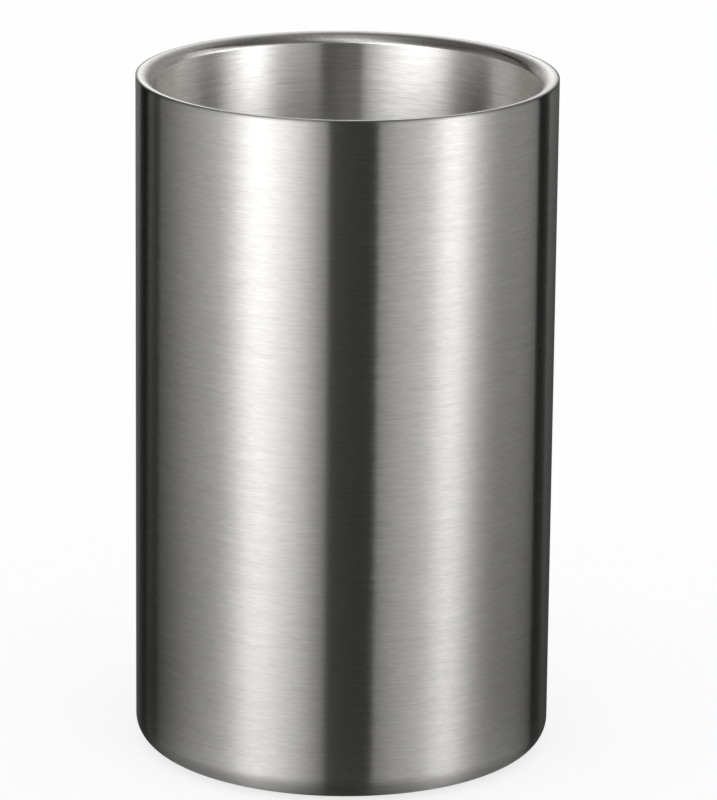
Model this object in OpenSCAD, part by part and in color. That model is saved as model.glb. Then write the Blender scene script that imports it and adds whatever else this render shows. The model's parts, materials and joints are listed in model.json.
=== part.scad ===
// Double-walled bottle cooler: a brushed steel jacket and a deep-drawn cup, joined at a
// convex lip by a flush weld and closed underneath by a pressed base plate.
// Z is up, the axis of the cooler is Z, and the foot ring stands on z = 0. Millimetres.

/* [Jacket] */
// Outer diameter of the jacket
outer_d = 120; // [90:1:180]
// Overall height, from the table to the top of the lip
height = 197; // [120:1:300]
// Sheet thickness of the jacket
jacket_t = 0.6; // [0.4:0.1:1.2]
// Outer radius of the bend that turns the jacket in under the cooler
foot_bend_r = 7; // [3:0.5:12]
// Width of the flat ring that the cooler stands on
foot_ring_w = 6; // [3:0.5:12]
// Outer radius of the bend from the foot ring up into the collar
collar_bend_r = 1.6; // [1.3:0.1:1.9]
// Height of the collar's edge above the table
collar_h = 5; // [4.5:0.5:9]

/* [Cup] */
// Sheet thickness of the cup and of its lip
cup_t = 0.6; // [0.6:0.1:1.2]
// Width of the lip, from the cup's wall out to the jacket's face
lip_w = 4.8; // [4:0.1:10]
// How far the lip falls from its crown to the cup's wall
lip_drop = 2.7; // [1.2:0.1:3.2]
// Radius that polishing leaves on the lip's outer edge
lip_edge_r = 0.25; // [0.1:0.05:0.3]
// Inside radius of the drawn corner between the cup's wall and its floor
cup_corner_r = 8; // [3:0.5:20]
// Air gap between the collar's edge and the underside of the cup
floor_gap = 3.4; // [1.5:0.1:12]

/* [Base plate] */
// Sheet thickness of the base plate
base_t = 0.8; // [0.5:0.1:1.2]
// Height of the base plate's underside above the table
base_recess = 2; // [1.9:0.1:2.5]
// Outer radius of the bend at the edge of the base plate
base_bend_r = 1.8; // [1.5:0.1:2]
// Gap between the base plate's flange and the collar
base_fit = 0.1; // [0.05:0.05:0.2]
// Diameter of the raised panel in the middle of the base plate
panel_d = 64; // [20:1:72]
// How far the panel is pressed up
panel_rise = 1.6; // [1.3:0.1:2.6]

/* [Welds] */
// Depth of the groove for the weld between the lip and the jacket
rim_weld_w = 0.25; // [0.1:0.05:0.25]
// Width of the weld around the base plate
base_weld_w = 1.3; // [0.8:0.1:1.4]
// Depth of the weld around the base plate
base_weld_h = 1.2; // [0.6:0.1:1.4]

/* [Hidden] */
$fn = 144;

outer_r = outer_d / 2;
well_r = outer_r - lip_w;

// The cup's lip lies on the jacket's edge, and the weld runs along that seam.
seam_z = height - cup_t;

// The lip is a flat land over the jacket's edge and an arc down to the cup's wall.
lip_run = lip_w - jacket_t;
lip_r = (lip_run ^ 2 + lip_drop ^ 2) / (2 * lip_drop);
lip_centre = [outer_r - jacket_t, height - lip_r];

cup_floor_z = collar_h + floor_gap + cup_t;
cup_corner = [well_r - cup_corner_r, cup_floor_z + cup_corner_r];

foot_bend = [outer_r - foot_bend_r, foot_bend_r];
collar_bend = [foot_bend[0] - foot_ring_w, collar_bend_r];
collar_r = collar_bend[0] - collar_bend_r;

base_r = collar_r - base_fit;
base_bend = [base_r - base_bend_r, base_recess + base_bend_r];

// The pressed step is two quarter bends on one level, the outer one hollow, the inner one crowned.
panel_r = panel_d / 2;
step_bend_r = (panel_rise + base_t) / 2;
step_foot = [panel_r + panel_rise, base_recess + step_bend_r];
step_crown = [panel_r, step_foot[1]];

// A straight strip of sheet between two corners of its section.
module strip(low, high) {
    translate(low) square(high - low);
}

// A bend of the sheet: the part of a ring between two angles that lie under 180 degrees apart.
module bend(centre, r, t, from, to) {
    reach = 2 * r / cos((to - from) / 2);
    translate(centre)
        intersection() {
            difference() {
                circle(r);
                circle(r - t);
            }
            polygon([
                [0, 0],
                2 * r * [cos(from), sin(from)],
                reach * [cos((from + to) / 2), sin((from + to) / 2)],
                2 * r * [cos(to), sin(to)]
            ]);
        }
}

// The V between the lip's edge and the jacket's edge, open to the outside.
module rim_groove() {
    polygon([
        [outer_r, seam_z - rim_weld_w],
        [outer_r, seam_z + rim_weld_w],
        [outer_r - rim_weld_w, seam_z]
    ]);
}

module jacket_section() {
    difference() {
        strip([outer_r - jacket_t, foot_bend[1]], [outer_r, seam_z]);
        rim_groove();
    }
    bend(foot_bend, foot_bend_r, jacket_t, -90, 0);
    strip([collar_bend[0], 0], [foot_bend[0], jacket_t]);
    bend(collar_bend, collar_bend_r, jacket_t, 180, 270);
    strip([collar_r, collar_bend[1]], [collar_r + jacket_t, collar_h]);
}

// The land over the jacket's edge, with its outer corner rounded.
module lip_land_section() {
    edge = [outer_r - lip_edge_r, height - lip_edge_r];
    difference() {
        union() {
            strip([lip_centre[0], seam_z], [edge[0], height]);
            strip([lip_centre[0], seam_z], [outer_r, edge[1]]);
            translate(edge) circle(lip_edge_r);
        }
        rim_groove();
    }
}

// The arc of the lip, cut off where it meets the inside of the cup's wall.
module lip_arc_section() {
    intersection() {
        bend(lip_centre, lip_r, cup_t, 90, 180);
        strip([well_r, lip_centre[1]], [lip_centre[0], height]);
    }
}

module cup_section() {
    lip_land_section();
    lip_arc_section();
    strip([well_r, cup_corner[1]], [well_r + cup_t, height - lip_drop]);
    bend(cup_corner, cup_corner_r + cup_t, cup_t, -90, 0);
    strip([0, cup_floor_z - cup_t], [cup_corner[0], cup_floor_z]);
}

module base_section() {
    strip([base_r - base_t, base_bend[1]], [base_r, collar_h]);
    bend(base_bend, base_bend_r, base_t, -90, 0);
    strip([step_foot[0], base_recess], [base_bend[0], base_recess + base_t]);
    bend(step_foot, step_bend_r, base_t, 180, 270);
    bend(step_crown, step_bend_r, base_t, 0, 90);
    strip([0, base_recess + panel_rise], [panel_r, base_recess + panel_rise + base_t]);
}

// The weld fills the flare between the collar and the bend at the base plate's edge.
module base_weld_section() {
    difference() {
        strip([collar_r - base_weld_w, base_recess], [collar_r, base_recess + base_weld_h]);
        translate(base_bend) circle(base_bend_r);
        strip([0, base_bend[1]], [base_r, collar_h]);
    }
}

module outer_shell() {
    color("silver") rotate_extrude() jacket_section();
}

module inner_cup() {
    color("gainsboro") rotate_extrude() cup_section();
}

module base_plate() {
    color("darkgray") rotate_extrude() base_section();
}

module rim_weld() {
    color("dimgray") rotate_extrude() rim_groove();
}

module base_weld() {
    color("dimgray") rotate_extrude() base_weld_section();
}

outer_shell();
inner_cup();
base_plate();
rim_weld();
base_weld();
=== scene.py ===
"""A double-walled bottle cooler of brushed stainless steel, dressed and set up in a small studio.

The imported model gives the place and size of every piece. Each sheet is drawn again as a smooth
surface of revolution with its own brushed finish, and the two welds as thin rings.
"""
import json
import logging
import math
from dataclasses import dataclass
from enum import Enum

import bpy
import numpy as np
from mathutils import Matrix, Vector


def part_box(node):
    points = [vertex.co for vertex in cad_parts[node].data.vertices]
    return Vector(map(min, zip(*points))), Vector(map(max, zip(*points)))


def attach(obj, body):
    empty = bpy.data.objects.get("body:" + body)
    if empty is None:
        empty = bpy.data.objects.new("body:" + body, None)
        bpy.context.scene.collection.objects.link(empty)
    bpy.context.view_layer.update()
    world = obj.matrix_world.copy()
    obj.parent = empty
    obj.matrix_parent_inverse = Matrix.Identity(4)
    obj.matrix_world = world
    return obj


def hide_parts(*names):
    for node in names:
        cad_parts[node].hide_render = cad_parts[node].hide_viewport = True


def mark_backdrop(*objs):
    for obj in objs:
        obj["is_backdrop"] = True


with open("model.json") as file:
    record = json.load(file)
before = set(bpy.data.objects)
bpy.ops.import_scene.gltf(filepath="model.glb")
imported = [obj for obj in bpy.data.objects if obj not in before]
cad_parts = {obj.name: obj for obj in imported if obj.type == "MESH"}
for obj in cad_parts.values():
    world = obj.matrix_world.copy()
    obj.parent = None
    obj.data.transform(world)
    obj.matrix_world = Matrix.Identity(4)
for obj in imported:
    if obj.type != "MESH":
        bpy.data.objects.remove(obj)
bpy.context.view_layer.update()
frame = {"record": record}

MM = 0.001
STEPS_AROUND = 288  # of a turned surface
DEGREES_PER_STEP = 5.0  # how far an arc's normal turns from one ring of the mesh to the next
NO_RADIUS = 1e-9  # metres, under which a point lies on the axis
LOG = logging.getLogger("bottle_cooler")


# ---------------------------------------------------------------------------- colours and nodes


def linear(hex_code: str) -> tuple[float, float, float, float]:
    """Turn an sRGB colour into the linear colour that Blender's sockets take.

    Args:
        hex_code: Six hex digits, such as "C8C8C6".

    Returns:
        Linear red, green and blue, and an alpha of 1.
    """
    parts = [int(hex_code[at : at + 2], 16) / 255 for at in (0, 2, 4)]
    red, green, blue = (
        part / 12.92 if part <= 0.04045 else ((part + 0.055) / 1.055) ** 2.4 for part in parts
    )
    return red, green, blue, 1.0


def add_node(
    material: bpy.types.Material | bpy.types.World,
    kind: str,
    settings: dict[str, object] | None = None,
    inputs: dict[int | str, object] | None = None,
) -> bpy.types.Node:
    """Add one shader node with its settings, values and links.

    Args:
        material: The material or world that gets the node.
        kind: The node's type name.
        settings: Attributes of the node itself.
        inputs: Input sockets by name or number. An output socket is linked, and anything else is
            the socket's value.

    Returns:
        The new node.
    """
    tree = material.node_tree
    made = tree.nodes.new(kind)
    for name, value in (settings or {}).items():
        setattr(made, name, value)
    for name, value in (inputs or {}).items():
        if isinstance(value, bpy.types.NodeSocket):
            tree.links.new(value, made.inputs[name])
        else:
            made.inputs[name].default_value = value
    return made


def blank_material(name: str) -> bpy.types.Material:
    """Make a node material with no nodes in it.

    Args:
        name: The material's name.

    Returns:
        The empty material.
    """
    material = bpy.data.materials.new(name)
    material.use_nodes = True
    material.node_tree.nodes.clear()
    return material


# ---------------------------------------------------------------------------- turned surfaces


@dataclass(frozen=True)
class Section:
    """The outline of a piece in the plane of radius and height, with its normals.

    The outline runs anticlockwise round the solid, so its normals point out of it.
    """

    points: np.ndarray  # (n, 2) radius and height in metres
    normals: np.ndarray  # (n, 2) unit vectors
    closed: bool  # whether the last point joins the first

    def lengths(self) -> np.ndarray:
        """Give the length along the outline from its first point to each point, in metres."""
        steps = np.linalg.norm(np.diff(self.points, axis=0), axis=1)
        return np.concatenate([[0.0], np.cumsum(steps)])

    def whole(self) -> float:
        """Give the whole length of the outline, with the step that closes it, in metres."""
        last = np.linalg.norm(self.points[0] - self.points[-1]) if self.closed else 0.0
        return self.lengths()[-1] + last


def rounded_section(
    corners: list[tuple[float, float, float]], closed: bool, pitch: float = 4.0
) -> Section:
    """Draw an outline of straight stretches whose corners are true arcs.

    An arc of radius r in a corner that turns by an angle a starts r * tan(a / 2) before the
    corner. Its normals turn evenly from one stretch's normal to the next one's.

    Args:
        corners: Radius, height and corner radius of each corner, in millimetres.
        closed: Whether the outline closes on itself. An open one starts and ends on the axis.
        pitch: Longest step along a straight stretch, in millimetres.

    Returns:
        The outline in metres.
    """
    table = np.array(corners, float)
    places, radii = table[:, :2], table[:, 2]
    ahead = np.roll(places, -1, axis=0) - places
    ahead /= np.linalg.norm(ahead, axis=1)[:, None]
    behind = np.roll(ahead, 1, axis=0)
    if not closed:
        behind[0], ahead[-1] = ahead[0], behind[-1]
    cross = behind[:, 0] * ahead[:, 1] - behind[:, 1] * ahead[:, 0]
    turn = np.arctan2(cross, (behind * ahead).sum(axis=1))
    reach = radii * np.tan(np.abs(turn) / 2)
    heading = np.arctan2(behind[:, 1], behind[:, 0])

    points, normals = [], []
    for place, back, angle, radius, run, course in zip(
        places, behind, turn, radii, reach, heading
    ):
        steps = 1 + math.ceil(abs(math.degrees(angle)) / DEGREES_PER_STEP)
        facing = course - math.pi / 2 + np.linspace(0, angle, steps)
        outward = np.stack([np.cos(facing), np.sin(facing)], axis=1)
        arc = place - back * run + math.copysign(radius, angle) * (outward - outward[0])
        if points:
            join_straight(points, normals, arc[0], pitch)
        points.append(arc)
        normals.append(outward)
    if closed:
        join_straight(points, normals, points[0][0], pitch)
    return Section(np.concatenate(points) * MM, np.concatenate(normals), closed)


def join_straight(
    points: list[np.ndarray], normals: list[np.ndarray], end: np.ndarray, pitch: float
) -> None:
    """Fill the straight stretch from the outline's last point up to, and without, a new one.

    Args:
        points: The outline's stretches so far. One is added.
        normals: Their normals. The new stretch keeps the last one.
        end: The point that the stretch leads to.
        pitch: Longest step along it.
    """
    start = points[-1][-1]
    steps = max(1, math.ceil(np.linalg.norm(end - start) / pitch))
    share = np.linspace(0, 1, steps + 1)[1:-1, None]
    points.append(start + (end - start) * share)
    normals.append(np.repeat(normals[-1][-1:], len(share), axis=0))


def carried(out: np.ndarray, up: np.ndarray, around: int) -> np.ndarray:
    """Carry one pair of values per ring round the axis.

    Args:
        out: The part that points away from the axis.
        up: The part along the axis.
        around: Number of steps round the axis.

    Returns:
        One row of three values for each vertex.
    """
    angle = np.linspace(0, 2 * np.pi, around, endpoint=False)
    circle = np.stack([np.cos(angle), np.sin(angle)], axis=-1)
    flat = out[:, None, None] * circle[None]
    tall = np.broadcast_to(up[:, None, None], (*flat.shape[:2], 1))
    return np.concatenate([flat, tall], axis=2).reshape(-1, 3)


def laid_out(
    corners: tuple[tuple[int | np.ndarray, float | np.ndarray, float | np.ndarray], ...],
    shape: tuple[int, ...],
) -> tuple[np.ndarray, np.ndarray]:
    """Spread the corners of one face over a grid of faces.

    Args:
        corners: The vertex, U and V of each corner, as values that spread to the grid's shape.
        shape: Number of faces each way.

    Returns:
        The vertices of each face, and the UV place of each of its corners.
    """
    vertex, u, v = (
        np.stack([np.broadcast_to(value, shape) for value in values], axis=-1)
        for values in zip(*corners)
    )
    return vertex.reshape(-1, len(corners)), np.stack([u, v], axis=-1).reshape(-1, 2)


def ring_quads(
    shares: np.ndarray, closed: bool, around: int
) -> tuple[np.ndarray, np.ndarray]:
    """Join the rings of a turned surface with quads.

    Args:
        shares: Where each ring lies along the section, from 0 to 1.
        closed: Whether the last ring joins the first.
        around: Number of steps round the axis.

    Returns:
        The vertices of each face, and the UV place of each of its corners.
    """
    count = len(shares)
    ring = np.arange(count if closed else count - 1)[:, None]
    step = np.arange(around)
    onward = (step + 1) % around
    here, above = ring * around, (ring + 1) % count * around
    left, right = step / around, (step + 1) / around
    low, high = shares[ring], np.append(shares, 1.0)[ring + 1]
    corners = (
        (here + step, left, low),
        (here + onward, right, low),
        (above + onward, right, high),
        (above + step, left, high),
    )
    return laid_out(corners, (len(ring), around))


def pole_fans(shares: np.ndarray, around: int) -> tuple[np.ndarray, np.ndarray]:
    """Close the first and the last ring with a fan of triangles round a pole each.

    The two poles are the vertices that follow the rings.

    Args:
        shares: Where each ring lies along the section, from 0 to 1.
        around: Number of steps round the axis.

    Returns:
        The vertices of each face, and the UV place of each of its corners.
    """
    bottom = len(shares) * around
    top, last = bottom + 1, bottom - around
    step = np.arange(around)
    onward = (step + 1) % around
    left, right = step / around, (step + 1) / around
    middle, low, high = (left + right) / 2, shares[0], shares[-1]
    fans = (
        ((bottom, middle, 0.0), (onward, right, low), (step, left, low)),
        ((last + step, left, high), (last + onward, right, high), (top, middle, 1.0)),
    )
    faces, uv = zip(*(laid_out(fan, (around,)) for fan in fans))
    return np.concatenate(faces), np.concatenate(uv)


def revolve(name: str, section: Section, around: int = STEPS_AROUND) -> bpy.types.Object:
    """Turn a section about Z into a closed mesh with exact normals.

    A point at radius r and height z lies at (r * cos(t), r * sin(t), z) for each angle t. A point
    on the axis becomes one pole. The UV map unrolls the piece: the angle runs along U and the
    length of the section along V. The attribute "along" holds that length in millimetres.

    Args:
        name: The object's name.
        section: The outline to turn.
        around: Number of steps round the axis.

    Returns:
        The piece, at the origin.
    """
    radius, height = section.points.T
    lengths = section.lengths()
    rings = np.flatnonzero(radius > NO_RADIUS)
    shares = lengths[rings] / section.whole()
    vertices = carried(radius[rings], height[rings], around)
    normals = carried(section.normals[rings, 0], section.normals[rings, 1], around)
    along = np.repeat(lengths[rings], around)
    quads, uv = ring_quads(shares, section.closed, around)
    faces = quads.tolist()
    if not section.closed:
        vertices = np.concatenate([vertices, [[0, 0, height[0]], [0, 0, height[-1]]]])
        normals = np.concatenate([normals, [[0, 0, -1], [0, 0, 1]]])
        along = np.concatenate([along, [0.0, lengths[-1]]])
        fans, fan_uv = pole_fans(shares, around)
        faces += fans.tolist()
        uv = np.concatenate([uv, fan_uv])

    mesh = bpy.data.meshes.new(name)
    mesh.from_pydata(vertices.tolist(), [], faces)
    mesh.uv_layers.new(name="OFBake").uv.foreach_set("vector", uv.astype(np.float32).ravel())
    mesh.attributes.new("along", "FLOAT", "POINT").data.foreach_set(
        "value", (along / MM).astype(np.float32)
    )
    mesh.polygons.foreach_set("use_smooth", np.ones(len(faces), bool))
    mesh.update()
    mesh.normals_split_custom_set_from_vertices(normals.tolist())
    piece = bpy.data.objects.new(name, mesh)
    bpy.context.scene.collection.objects.link(piece)
    return piece


# ---------------------------------------------------------------------------- finishes


LEAST_RATIO = 0.1  # of the spread along the grain to that across it, in a Principled shader
SHARP_SHARE = 0.8  # of the shine that the sharper shader carries
QUARTER_TURN = 0.25  # from the tangent to a Principled shader's wide axis
FIELD_LOW, FIELD_HIGH = 0.25, 0.75  # where nearly all of the scratch field lies
BROAD_SHARE = 0.35  # of the field that is broad scratches
BROAD_WIDTH, BROAD_LENGTH = 4, 5  # of a broad scratch, in fine ones
NOISE_OCTAVES = 1.5  # past the first one
NOISE_FADE = 0.5  # how strong each is beside the one before
LIP_REACH_MM = 57.0  # radius of the lip's middle, where slanted scratches run at 45 degrees


class Grain(Enum):
    """Which way the abrasive ran, in turns from the circle round the axis."""

    ROUND = 0.0
    SLANTED = 0.375


@dataclass(frozen=True)
class BrushedSteel:
    """Stainless steel with a ground finish, from satin brushed to buffed.

    The scratches mirror sharply along their length and scatter widely across it, so that lights
    draw into long bands that stand square to the grain, with crisp sides.
    """

    name: str
    colour: str  # sRGB
    across: float  # spread of the surface's slopes across the scratches, as a microfacet alpha
    along: float  # and along them
    grain: Grain = Grain.ROUND
    scratch_mm: float = 0.2  # between scratches. Real grit 180 leaves 0.05, too fine to show
    scratch_length_mm: float = 3.0
    contrast: float = 0.16  # how much brighter or darker a scratch is, as a share
    unevenness: float = 0.02  # how much rougher or smoother, as a share
    turn: float = 0.012  # radians that a scratch may face away round the axis
    depth_mm: float = 0.0003  # of a scratch

    def material(self) -> bpy.types.Material:
        """Make the material.

        A Principled shader reaches a tenth as much spread along the grain as across it. Where
        the steel is sharper than that, a glossy shader carries most of the shine.

        Returns:
            A metal whose scratches follow the grain.
        """
        made = blank_material(self.name)
        place = add_node(made, "ShaderNodeTexCoord").outputs["Object"]
        field = self.field(made, place)
        tint = self.swing(made, field, 1 - self.contrast, 1 + self.contrast)
        colour = add_node(
            made,
            "ShaderNodeVectorMath",
            {"operation": "SCALE"},
            {0: linear(self.colour)[:3], "Scale": tint},
        ).outputs["Vector"]
        tangent = self.tangent(made, place)
        facing = self.relief(made, field, tangent)
        ratio = max(self.along / self.across, LEAST_RATIO)
        satin = add_node(
            made,
            "ShaderNodeBsdfPrincipled",
            inputs={
                "Base Color": colour,
                "Metallic": 1.0,
                "Roughness": self.rough(made, field, (self.across * ratio**0.5) ** 0.5),
                "Anisotropic": (1 - ratio) / (1 - LEAST_RATIO),
                "Anisotropic Rotation": (QUARTER_TURN + self.grain.value) % 1.0,
                "Tangent": tangent,
                "Normal": facing,
            },
        ).outputs[0]
        if self.along / self.across < LEAST_RATIO:
            sharp = add_node(
                made,
                "ShaderNodeBsdfAnisotropic",
                inputs={
                    "Color": colour,
                    "Roughness": self.rough(made, field, (self.along * self.across) ** 0.25),
                    "Anisotropy": 1 - (self.along / self.across) ** 0.5,
                    "Rotation": self.grain.value,
                    "Tangent": tangent,
                    "Normal": facing,
                },
            ).outputs[0]
            satin = add_node(
                made, "ShaderNodeMixShader", inputs={0: SHARP_SHARE, 1: satin, 2: sharp}
            ).outputs[0]
        add_node(made, "ShaderNodeOutputMaterial", inputs={"Surface": satin})
        return made

    def tangent(
        self, made: bpy.types.Material, place: bpy.types.NodeSocket
    ) -> bpy.types.NodeSocket:
        """Find the direction round the axis, which is Z crossed with the place.

        Args:
            made: The material.
            place: The place on the piece.

        Returns:
            The direction, as a unit vector.
        """
        circle = add_node(
            made, "ShaderNodeVectorMath", {"operation": "CROSS_PRODUCT"}, {0: (0, 0, 1), 1: place}
        ).outputs["Vector"]
        return add_node(
            made, "ShaderNodeVectorMath", {"operation": "NORMALIZE"}, {0: circle}
        ).outputs["Vector"]

    def rough(
        self, made: bpy.types.Material, field: bpy.types.NodeSocket, middle: float
    ) -> bpy.types.NodeSocket:
        """Let the roughness differ a little from scratch to scratch.

        Args:
            made: The material.
            field: The scratch field.
            middle: The roughness of the sheet as a whole.

        Returns:
            The roughness.
        """
        low, high = middle * (1 - self.unevenness), middle * (1 + self.unevenness)
        return self.swing(made, field, low, high)

    def relief(
        self,
        made: bpy.types.Material,
        field: bpy.types.NodeSocket,
        tangent: bpy.types.NodeSocket,
    ) -> bpy.types.NodeSocket:
        """Give the scratches their depth, and let each face a little to one side.

        That makes the sides of a long reflection jagged from scratch to scratch.

        Args:
            made: The material.
            field: The scratch field.
            tangent: The direction round the axis.

        Returns:
            The normal.
        """
        bump = add_node(
            made,
            "ShaderNodeBump",
            inputs={"Height": field, "Distance": self.depth_mm * MM, "Strength": 1.0},
        ).outputs["Normal"]
        lean = add_node(
            made,
            "ShaderNodeVectorMath",
            {"operation": "SCALE"},
            {0: tangent, "Scale": self.swing(made, field, -self.turn, self.turn)},
        ).outputs["Vector"]
        leant = add_node(made, "ShaderNodeVectorMath", {"operation": "ADD"}, {0: bump, 1: lean})
        return add_node(
            made, "ShaderNodeVectorMath", {"operation": "NORMALIZE"}, {0: leant.outputs["Vector"]}
        ).outputs["Vector"]

    def swing(
        self, made: bpy.types.Material, field: bpy.types.NodeSocket, low: float, high: float
    ) -> bpy.types.NodeSocket:
        """Turn the scratch field into a value that swings between two limits.

        Args:
            made: The material.
            field: The scratch field.
            low: The value where the field is low.
            high: And where it is high.

        Returns:
            The value.
        """
        return add_node(
            made,
            "ShaderNodeMapRange",
            inputs={
                "Value": field,
                "From Min": FIELD_LOW,
                "From Max": FIELD_HIGH,
                "To Min": low,
                "To Max": high,
            },
        ).outputs["Result"]

    def field(
        self, made: bpy.types.Material, place: bpy.types.NodeSocket
    ) -> bpy.types.NodeSocket:
        """Add fine scratches with broader ones among them.

        A slanted grain comes from turning each place about Z by its length along the section over
        the lip's radius, so that a scratch moves round as far as it moves inward.

        Args:
            made: The material.
            place: The place on the piece.

        Returns:
            The field, nearly all of it from FIELD_LOW to FIELD_HIGH.
        """
        along = add_node(made, "ShaderNodeAttribute", {"attribute_name": "along"}).outputs["Fac"]
        if self.grain is Grain.SLANTED:
            climb = add_node(
                made, "ShaderNodeMath", {"operation": "MULTIPLY"}, {0: along, 1: 1 / LIP_REACH_MM}
            ).outputs[0]
            place = add_node(
                made,
                "ShaderNodeVectorRotate",
                {"rotation_type": "Z_AXIS"},
                {"Vector": place, "Angle": climb},
            ).outputs[0]
        axes = add_node(made, "ShaderNodeSeparateXYZ", inputs={0: place}).outputs
        fine = self.scratches(made, axes, along, self.scratch_mm, self.scratch_length_mm)
        broad = self.scratches(
            made,
            axes,
            along,
            BROAD_WIDTH * self.scratch_mm,
            BROAD_LENGTH * self.scratch_length_mm,
        )
        return add_node(
            made,
            "ShaderNodeMix",
            {"data_type": "FLOAT"},
            {"Factor": BROAD_SHARE, "A": fine, "B": broad},
        ).outputs["Result"]

    def scratches(
        self,
        made: bpy.types.Material,
        axes: bpy.types.bpy_prop_collection,
        along: bpy.types.NodeSocket,
        width_mm: float,
        length_mm: float,
    ) -> bpy.types.NodeSocket:
        """Add a field of scratches of one size.

        For a round grain the noise changes fast along the section and slowly along X and Y, so
        it is drawn out round the axis. For a slanted one it is the other way about, on axes that
        twist along the section. Neither has a seam.

        Args:
            made: The material.
            axes: X, Y and Z on the piece, twisted for a slanted grain.
            along: Length along the section in millimetres.
            width_mm: Distance between scratches.
            length_mm: Length of a scratch.

        Returns:
            The field.
        """
        around_mm, inward_mm = (
            (length_mm, width_mm) if self.grain is Grain.ROUND else (width_mm, length_mm)
        )
        around = [
            add_node(
                made,
                "ShaderNodeMath",
                {"operation": "DIVIDE"},
                {0: axes[name], 1: around_mm * MM},
            ).outputs[0]
            for name in "XY"
        ]
        inward = add_node(
            made, "ShaderNodeMath", {"operation": "DIVIDE"}, {0: along, 1: inward_mm}
        ).outputs[0]
        spot = add_node(
            made, "ShaderNodeCombineXYZ", inputs={"X": around[0], "Y": around[1], "Z": inward}
        ).outputs[0]
        return add_node(
            made,
            "ShaderNodeTexNoise",
            inputs={
                "Vector": spot,
                "Scale": 1.0,
                "Detail": NOISE_OCTAVES,
                "Roughness": NOISE_FADE,
            },
        ).outputs[0]


# Sheet brushed round the axis on a belt: upright bands with crisp sides, and a fine level grain.
JACKET_STEEL = BrushedSteel("belt_brushed_steel_jacket", "CDCCC9", across=0.43, along=0.0148)

# The same belt inside the cup, in a lighter colour that is painted light for the deep cup: longer
# and bolder scratches, softer bands.
CUP_STEEL = BrushedSteel(
    "belt_brushed_steel_cup",
    "E9E8E5",
    across=0.40,
    along=0.016,
    scratch_length_mm=5.0,
    contrast=0.22,
    turn=0.01,
)

# Buffed on a wheel, held at a slant: a bright, nearly mirror-like lip with drawn-out highlights.
LIP_STEEL = BrushedSteel(
    "buffed_steel_lip",
    "E9E7E3",
    across=0.13,
    along=0.035,
    grain=Grain.SLANTED,
    scratch_mm=0.22,
    scratch_length_mm=4.0,
    contrast=0.22,
    turn=0.01,
)

# Turned on a lathe: a dull disc, with a fan of light on each side of its middle.
BASE_STEEL = BrushedSteel("turned_steel_base", "C6C5C2", across=0.36, along=0.05)

# Ground flush and brushed over with the jacket: a hairline a little darker than the sheet.
WELD_STEEL = BrushedSteel("ground_steel_weld", "BDBCB9", across=0.43, along=0.0148)

# The lip's cut edge, ground and left dull, in a dark grey that is painted shade: a thin grey
# outline round the bright lip.
EDGE_SHADE_STEEL = BrushedSteel("ground_steel_edge", "7A7976", across=0.15, along=0.1)


# ---------------------------------------------------------------------------- pieces


def reach_of(node: str) -> float:
    """Give the outer radius of a round CAD node, in millimetres."""
    low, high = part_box(node)
    return max(high.x, high.y, -low.x, -low.y) / MM


def floor_of(node: str) -> float:
    """Give the lowest height of a CAD node, in millimetres."""
    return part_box(node)[0].z / MM


def top_of(node: str) -> float:
    """Give the highest height of a CAD node, in millimetres."""
    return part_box(node)[1].z / MM


def bore_of(mount: str) -> float:
    """Give the radius of a mount's bore, in millimetres."""
    mounts = frame["record"]["mounts"]
    return next(each["dims"]["r_mm"] for each in mounts if each["name"] == mount)


RAZED = 0.03  # millimetres of radius on a corner that a weld meets
WELD_CORNER = 0.02  # millimetres of radius on a weld's own corners
ARC_SHARE = 0.98  # of the room in a corner that the lip's arc takes, so that a straight is left


@dataclass
class TurnedPiece:
    """A sheet or a weld that is one section turned about Z."""

    name: str
    node: str
    slot: str
    finish: BrushedSteel

    def section(self) -> Section:
        """Draw the piece's section."""
        raise NotImplementedError

    def dress(self, piece: bpy.types.Object) -> None:
        """Give the piece its finish.

        Args:
            piece: The finished mesh.
        """
        piece.data.materials.append(self.finish.material())

    def build(self) -> bpy.types.Object:
        """Make the piece, dress it and put it in the place of its CAD node.

        Returns:
            The piece.
        """
        piece = revolve(self.name, self.section())
        self.dress(piece)
        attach(piece, "root")
        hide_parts(self.node)
        LOG.info("%s: %d faces", self.name, len(piece.data.polygons))
        return piece


@dataclass
class Jacket(TurnedPiece):
    """The outer sheet, with the bend into the foot ring and the collar for the base plate."""

    sheet: float = 0.6
    foot_bend: float = 7.0
    collar_bend: float = 1.6
    groove: float = 0.25  # depth of the bevel under the rim weld
    edge: float = 0.08  # what deburring leaves on a cut edge

    def section(self) -> Section:
        """Draw the sheet from the collar's edge out and up to the rim, and back inside.

        Returns:
            The outline of the sheet.
        """
        outer, top = reach_of(self.node), top_of(self.node)
        collar, collar_top = reach_of("base_weld"), top_of("base_plate")
        return rounded_section(
            [
                (collar, collar_top, self.edge),
                (collar, 0, self.collar_bend),
                (outer, 0, self.foot_bend),
                (outer, top - self.groove, RAZED),
                (reach_of("rim_weld") - self.groove, top, RAZED),
                (outer - self.sheet, top, self.edge),
                (outer - self.sheet, self.sheet, self.foot_bend - self.sheet),
                (collar + self.sheet, self.sheet, self.collar_bend - self.sheet),
                (collar + self.sheet, collar_top, self.edge),
            ],
            closed=True,
        )


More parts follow.
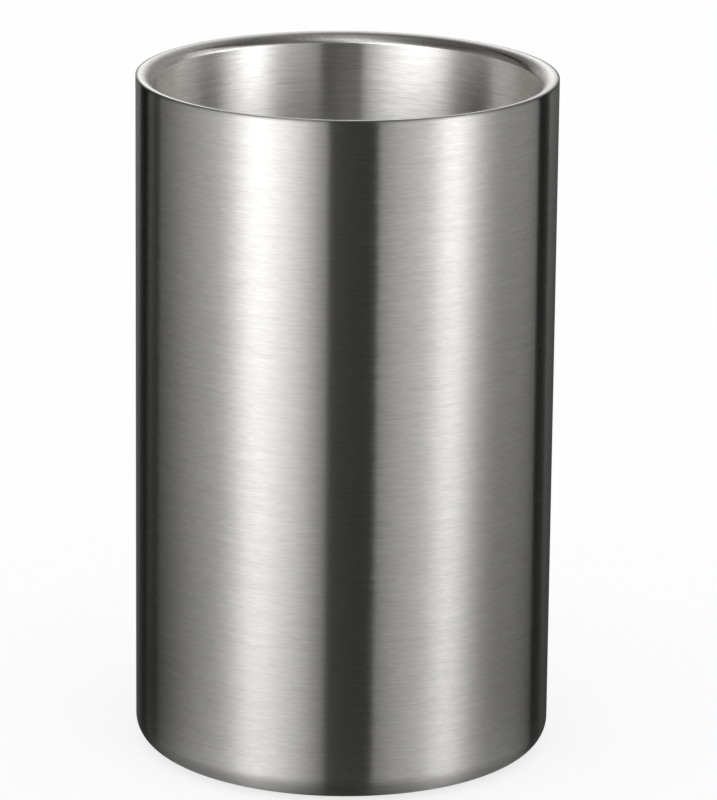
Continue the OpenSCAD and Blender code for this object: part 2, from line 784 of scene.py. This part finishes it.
@dataclass
class Cup(TurnedPiece):
    """The deep-drawn cup, with its flared lip, its crease and its drawn corner."""

    lip_finish: BrushedSteel
    shaded_edge_finish: BrushedSteel
    lip_drop: float = 2.7
    corner: float = 8.0
    groove: float = 0.25  # depth of the bevel over the rim weld
    edge: float = 0.25  # what polishing leaves on the lip's outer edge
    crease: float = 0.25  # radius between the lip and the wall
    crease_outside: float = 0.3  # and on the hidden side of the sheet
    lip_lean: float = 0.05  # least upward part of the normal on the lip's faces

    def section(self) -> Section:
        """Draw the sheet from under the floor up to the lip, and back down inside the well.

        The lip is an arc that falls by its drop over its run, so its radius is the sum of their
        squares over twice the drop. It stands in the corner between the land and its tangent at
        the wall.

        Returns:
            The outline of the sheet.
        """
        outer, top = reach_of(self.node), top_of(self.node)
        under, seam = floor_of(self.node), top_of("outer_shell")
        sheet = top - seam
        well = bore_of("well")
        land = outer - sheet
        run = land - well
        lip = (run**2 + self.lip_drop**2) / (2 * self.lip_drop)
        slope = math.asin(run / lip)
        start = land - lip * math.tan(slope / 2)
        under_start = land - (lip - sheet) * math.tan(slope / 2)
        under_wall = seam - (under_start - well - sheet) * math.tan(slope)
        return rounded_section(
            [
                (0, under, 0),
                (well + sheet, under, self.corner + sheet),
                (well + sheet, under_wall, self.crease_outside),
                (under_start, seam, (lip - sheet) * ARC_SHARE),
                (outer - self.groove, seam, RAZED),
                (outer, seam + self.groove, RAZED),
                (outer, top, self.edge),
                (start, top, lip * ARC_SHARE),
                (well, top - self.lip_drop, self.crease),
                (well, under + sheet, self.corner),
                (0, under + sheet, 0),
            ],
            closed=False,
        )

    def dress(self, piece: bpy.types.Object) -> None:
        """Brush the cup round its axis, polish the lip, and grind the lip's edge and paint it
        dark grey as painted shade.

        Args:
            piece: The finished mesh.
        """
        mesh = piece.data
        for finish in (self.finish, self.lip_finish, self.shaded_edge_finish):
            mesh.materials.append(finish.material())
        wall, lip, edge = range(len(mesh.materials))
        centres = np.empty(len(mesh.polygons) * 3, np.float32)
        mesh.polygons.foreach_get("center", centres)
        faces = np.empty(len(mesh.polygons) * 3, np.float32)
        mesh.polygons.foreach_get("normal", faces)
        across, back, height = centres.reshape(-1, 3).T / MM
        top, seam = top_of(self.node), top_of("outer_shell")
        on_lip = (height > top - self.lip_drop) & (faces[2::3] > self.lip_lean)
        land = reach_of(self.node) - (top - seam)
        # Painted shade: these faces take the dark grey edge colour.
        on_edge = (np.hypot(across, back) > land) & (height > seam)
        chosen = np.select([on_edge, on_lip], [edge, lip], default=wall)
        mesh.polygons.foreach_set("material_index", chosen.astype(np.int32))


@dataclass
class BasePlate(TurnedPiece):
    """The pressed disc that closes the air gap, with its flange and its raised panel."""

    sheet: float = 0.8
    bend: float = 1.8
    panel_r: float = 32.0
    panel_rise: float = 1.6
    edge: float = 0.08  # what deburring leaves on a cut edge

    def section(self) -> Section:
        """Draw the sheet from the middle of the underside out to the flange, and back above.

        Returns:
            The outline of the sheet.
        """
        outer, top = reach_of(self.node), top_of(self.node)
        low = floor_of(self.node)
        step = (self.panel_rise + self.sheet) / 2
        inner = step - self.sheet
        return rounded_section(
            [
                (0, low + self.panel_rise, 0),
                (self.panel_r + inner, low + self.panel_rise, inner),
                (self.panel_r + inner, low, step),
                (outer, low, self.bend),
                (outer, top, self.edge),
                (outer - self.sheet, top, self.edge),
                (outer - self.sheet, low + self.sheet, self.bend - self.sheet),
                (self.panel_r + step, low + self.sheet, inner),
                (self.panel_r + step, low + self.panel_rise + self.sheet, step),
                (0, low + self.panel_rise + self.sheet, 0),
            ],
            closed=False,
        )


@dataclass
class RimWeld(TurnedPiece):
    """The weld in the V between the lip's edge and the jacket's, ground flush."""

    def section(self) -> Section:
        """Draw the V.

        Returns:
            The outline of the weld.
        """
        outer = reach_of(self.node)
        low, top = floor_of(self.node), top_of(self.node)
        depth = (top - low) / 2
        return rounded_section(
            [
                (outer - depth, low + depth, WELD_CORNER),
                (outer, low, WELD_CORNER),
                (outer, top, WELD_CORNER),
            ],
            closed=True,
        )


@dataclass
class BaseWeld(TurnedPiece):
    """The weld that fills the flare between the collar and the base plate's bend."""

    bend: float = 1.8  # of the base plate
    width: float = 1.3
    bend_steps: int = 6  # points on its side along the bend

    def section(self) -> Section:
        """Draw the flare, whose upper side follows the base plate's bend.

        Returns:
            The outline of the weld.
        """
        collar = reach_of(self.node)
        low, top = floor_of(self.node), top_of(self.node)
        plate = reach_of("base_plate")
        centre = np.array([plate - self.bend, low + self.bend])
        inner = collar - self.width
        start = -math.acos((inner - centre[0]) / self.bend)
        end = math.asin((top - centre[1]) / self.bend)
        angles = np.linspace(start, end, self.bend_steps)
        arc = centre + self.bend * np.stack([np.cos(angles), np.sin(angles)], axis=1)
        corners = [(inner, low), (collar, low), (collar, top), *arc[::-1]]
        return rounded_section(
            [(float(r), float(z), WELD_CORNER) for r, z in corners], closed=True
        )


# ---------------------------------------------------------------------------- studio


def glowing_sheet(name: str, places: np.ndarray, glow: np.ndarray) -> bpy.types.Object:
    """Make a sheet that only the steel's reflections show, with its own radiance at each place.

    Args:
        name: The sheet's name.
        places: Positions in metres, (rows, columns, 3).
        glow: The radiance of each position, (rows, columns).

    Returns:
        The sheet, declared as stage.
    """
    rows, row = glow.shape
    at = (np.arange(rows - 1)[:, None] * row + np.arange(row - 1)).ravel()
    faces = np.stack([at, at + 1, at + 1 + row, at + row], axis=1)
    mesh = bpy.data.meshes.new(name)
    mesh.from_pydata(places.reshape(-1, 3).tolist(), [], faces.tolist())
    shine = mesh.attributes.new("glow", "FLOAT", "POINT")
    shine.data.foreach_set("value", glow.astype(np.float32).ravel())
    made = blank_material(name)
    strength = add_node(made, "ShaderNodeAttribute", {"attribute_name": "glow"}).outputs["Fac"]
    light = add_node(made, "ShaderNodeEmission", inputs={"Strength": strength}).outputs[0]
    add_node(made, "ShaderNodeOutputMaterial", inputs={"Surface": light})
    mesh.materials.append(made)
    sheet = bpy.data.objects.new(name, mesh)
    bpy.context.scene.collection.objects.link(sheet)
    for ray in ("camera", "diffuse", "shadow"):
        setattr(sheet, f"visible_{ray}", False)
    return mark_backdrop(sheet)


@dataclass(frozen=True)
class HotSpot:
    """Where a lamp stands close behind a diffuser and shows through it, or a painted pool of
    light on the floor's painted reflection.

    It adds strength * exp(-(u / wide) ** 2 - (v / deep) ** 2) to the radiance, where u and v are
    the distances from its middle.
    """

    across: float  # degrees round the cooler on a screen, metres to the right on a panel
    wide: float  # distance to where it has faded to a third
    along: float  # metres up on a screen, metres to the back on a panel
    deep: float  # distance to where it has faded to a third, that way
    strength: float  # radiance at its middle

    def glow(self, across: np.ndarray, along: np.ndarray) -> np.ndarray:
        """Give the radiance that the spot adds at each place."""
        u, v = (across - self.across) / self.wide, (along - self.along) / self.deep
        return self.strength * np.exp(-(u**2) - v**2)


@dataclass(frozen=True)
class Screen:
    """A tall diffuser on an arc round the cooler, which only the steel reflects.

    Its radiance is that of the plain veil plus a bell curve for each hot spot.
    """

    name: str
    left: float  # degrees from the viewer towards the right
    right: float
    high: float  # metres
    veil: float  # radiance of the plain sheet
    spots: tuple[HotSpot, ...] = ()
    distance: float = 1.0  # metres from the axis
    column: float = 2.0  # degrees between the upright lines of its grid
    row: float = 0.04  # metres between the level ones

    def build(self) -> bpy.types.Object:
        """Make the screen as a part of a cylinder.

        A place at azimuth a and height z lies at (d * sin(a), -d * cos(a), z).

        Returns:
            The screen, declared as stage.
        """
        azimuth, height = np.meshgrid(
            np.linspace(self.left, self.right, 2 + int((self.right - self.left) / self.column)),
            np.linspace(0, self.high, 2 + int(self.high / self.row)),
        )
        plain = np.full(azimuth.shape, self.veil)
        glow = plain + sum(spot.glow(azimuth, height) for spot in self.spots)
        turn = np.radians(azimuth)
        ring = self.distance * np.stack([np.sin(turn), -np.cos(turn)], axis=-1)
        return glowing_sheet(self.name, np.concatenate([ring, height[..., None]], axis=-1), glow)


@dataclass(frozen=True)
class Panel:
    """A level diffuser over the cooler, or a painted reflection of the floor under it, which only
    the steel reflects.
    """

    name: str
    sides: tuple[float, float]  # metres to the right
    ends: tuple[float, float]  # metres to the back
    height: float  # metres above the table
    veil: float  # radiance of the plain sheet
    spots: tuple[HotSpot, ...] = ()
    pitch: float = 0.03  # metres between the lines of its grid

    def build(self) -> bpy.types.Object:
        """Make the panel as a level grid.

        Returns:
            The panel, declared as stage.
        """
        columns, rows = (
            2 + int((high - low) / self.pitch) for low, high in (self.sides, self.ends)
        )
        right, back = np.meshgrid(
            np.linspace(*self.sides, columns), np.linspace(*self.ends, rows)
        )
        plain = np.full(right.shape, self.veil)
        glow = plain + sum(spot.glow(right, back) for spot in self.spots)
        places = np.stack([right, back, np.full(right.shape, self.height)], axis=-1)
        return glowing_sheet(self.name, places, glow)


@dataclass(frozen=True)
class Studio:
    """The floor, the screens and the light."""

    screens: tuple[Screen | Panel, ...] = (
        Screen(
            "left_screen",
            left=-117,
            right=-9.5,
            high=1.12,
            veil=0.17,
            spots=(
                HotSpot(across=-48, wide=15.2, along=0.42, deep=0.26, strength=5.9),
                HotSpot(across=-28.6, wide=15.8, along=0.65, deep=0.3, strength=4.8),
                HotSpot(across=-65.5, wide=34.5, along=0.2, deep=0.24, strength=2.05),
            ),
        ),
        Screen(
            "left_wing_screen",
            left=-132.5,
            right=-117,
            high=1.34,
            veil=0.1,
            spots=(HotSpot(across=-127.5, wide=2.2, along=0.4, deep=0.6, strength=0.22),),
        ),
        Screen("front_screen", left=-9.5, right=16.5, high=1.5, veil=0.055),
        Screen(
            "right_screen",
            left=16.5,
            right=122,
            high=1.18,
            veil=0.31,
            spots=(
                HotSpot(across=57.7, wide=13.1, along=0.46, deep=0.23, strength=6.0),
                HotSpot(across=34.5, wide=19, along=0.26, deep=0.38, strength=1.83),
                HotSpot(across=71, wide=16.6, along=0.53, deep=0.2, strength=3.15),
                HotSpot(across=101, wide=28, along=0.22, deep=0.33, strength=0.5),
                HotSpot(across=118.5, wide=2.4, along=0.95, deep=0.25, strength=2.4),
            ),
        ),
        Screen(
            "backdrop_screen",
            left=136.5,
            right=215,
            high=1.44,
            veil=0.12,
            spots=(
                HotSpot(across=183, wide=12, along=0.46, deep=0.19, strength=1.4),
                HotSpot(across=179, wide=10.7, along=0.9, deep=0.27, strength=0.6),
                HotSpot(across=209, wide=19.6, along=0.33, deep=0.22, strength=0.42),
                HotSpot(across=134.4, wide=20, along=0.39, deep=0.34, strength=0.36),
                HotSpot(across=147, wide=25, along=1.2, deep=0.35, strength=0.33),
            ),
        ),
        Panel(
            "ceiling_screen",
            sides=(-1.0, 1.0),
            ends=(-1.0, 1.0),
            height=1.6,
            veil=0.08,
            spots=(
                HotSpot(across=-0.09, wide=0.25, along=-0.18, deep=0.86, strength=0.42),
                HotSpot(across=-0.05, wide=0.44, along=-0.85, deep=0.38, strength=0.82),
            ),
        ),
        # Painted reflection of the floor: a dim sheet is painted shade from the cooler, and two
        # spots are painted pools of light by the foot.
        Panel(
            "table_screen",
            sides=(-0.5, 0.5),
            ends=(-0.5, 0.5),
            height=-0.05 * MM,
            veil=0.012,
            spots=(
                HotSpot(across=-0.05, wide=0.035, along=-0.05, deep=0.035, strength=0.19),
                HotSpot(across=0.05, wide=0.035, along=-0.05, deep=0.035, strength=0.19),
            ),
            pitch=0.01,
        ),
    )
    light_colour: str = "FFFFFF"
    floor_colour: str = "FCFCFC"
    floor_reach: float = 6.0  # metres from the cooler to each side of the floor
    gap: float = 0.1  # millimetres under the foot, so that the two faces don't lie in one plane
    shadow_share: float = 0.25  # of the cooler's shadow that the camera sees

    def build(self) -> None:
        """Set the stage and light it."""
        for screen in self.screens:
            screen.build()
        self.lay_floor()
        self.light_world()

    def lay_floor(self) -> None:
        """Lay the pale floor, which shows a thinned shadow to the camera.

        It is matt emulsion paint on board: an even ground with no shine of its own.
        """
        reach, drop = self.floor_reach, -self.gap * MM
        sides = ((-reach, -reach), (reach, -reach), (reach, reach), (-reach, reach))
        mesh = bpy.data.meshes.new("floor")
        mesh.from_pydata([(*side, drop) for side in sides], [], [(0, 1, 2, 3)])
        made = blank_material("painted_studio_floor")
        colour = linear(self.floor_colour)
        paint = add_node(made, "ShaderNodeBsdfDiffuse", inputs={"Color": colour}).outputs[0]
        plain = add_node(made, "ShaderNodeEmission", inputs={"Strength": 1.0}).outputs[0]
        camera = add_node(made, "ShaderNodeLightPath").outputs["Is Camera Ray"]
        share = add_node(
            made,
            "ShaderNodeMath",
            {"operation": "MULTIPLY"},
            {0: camera, 1: 1 - self.shadow_share},
        ).outputs[0]
        both = add_node(
            made, "ShaderNodeMixShader", inputs={0: share, 1: paint, 2: plain}
        ).outputs[0]
        add_node(made, "ShaderNodeOutputMaterial", inputs={"Surface": both})
        mesh.materials.append(made)
        floor = bpy.data.objects.new("floor", mesh)
        bpy.context.scene.collection.objects.link(floor)
        floor.visible_glossy = False

    def light_world(self) -> None:
        """Fill the room with plain white light."""
        world = bpy.data.worlds.new("white_room")
        world.use_nodes = True
        world.node_tree.nodes.clear()
        light = add_node(
            world,
            "ShaderNodeBackground",
            inputs={"Color": linear(self.light_colour), "Strength": 1.0},
        ).outputs[0]
        add_node(world, "ShaderNodeOutputWorld", inputs={"Surface": light})
        bpy.context.scene.world = world
        world.cycles_visibility.glossy = False
        bpy.context.scene.view_settings.view_transform = "Standard"


@dataclass(frozen=True)
class Viewpoint:
    """The camera in front of the cooler, above its rim."""

    distance: float = 1.4416  # metres in front of the axis
    height: float = 0.5098  # metres above the table
    down: float = 0.27615  # radians below the horizon
    aside: float = 0.00281  # radians to the right of the axis
    tilt: float = 0.01072  # radians that the camera leans
    lens: float = 234.3  # millimetres
    nearest: float = 0.05  # metres, before which nothing shows
    farthest: float = 50.0  # and past which

    def build(self) -> None:
        """Place the camera."""
        ahead = Vector(
            (
                math.sin(self.aside) * math.cos(self.down),
                math.cos(self.aside) * math.cos(self.down),
                -math.sin(self.down),
            )
        )
        level = ahead.cross(Vector((0, 0, 1))).normalized()
        upright = level.cross(ahead)
        right = level * math.cos(self.tilt) + upright * math.sin(self.tilt)
        above = upright * math.cos(self.tilt) - level * math.sin(self.tilt)
        camera = bpy.data.objects.new("camera", bpy.data.cameras.new("camera"))
        bpy.context.scene.collection.objects.link(camera)
        turn = Matrix((right, above, -ahead)).transposed().to_4x4()
        camera.matrix_world = Matrix.Translation((0, -self.distance, self.height)) @ turn
        camera.data.lens = self.lens
        camera.data.clip_start, camera.data.clip_end = self.nearest, self.farthest
        bpy.context.scene.camera = camera


# ---------------------------------------------------------------------------- assembly


def main() -> None:
    """Build the camera, the pieces and the studio in order."""
    logging.basicConfig(level=logging.INFO, format="%(message)s")
    Viewpoint().build()
    for piece in (
        Jacket("jacket", "outer_shell", "jacket", JACKET_STEEL),
        Cup("cup", "inner_cup", "cup", CUP_STEEL, LIP_STEEL, EDGE_SHADE_STEEL),
        BasePlate("base_disc", "base_plate", "base", BASE_STEEL),
        RimWeld("rim_seam", "rim_weld", "weld", WELD_STEEL),
        BaseWeld("base_seam", "base_weld", "weld", WELD_STEEL),
    ):
        piece.build()
    Studio().build()


if __name__ == "__main__":
    main()
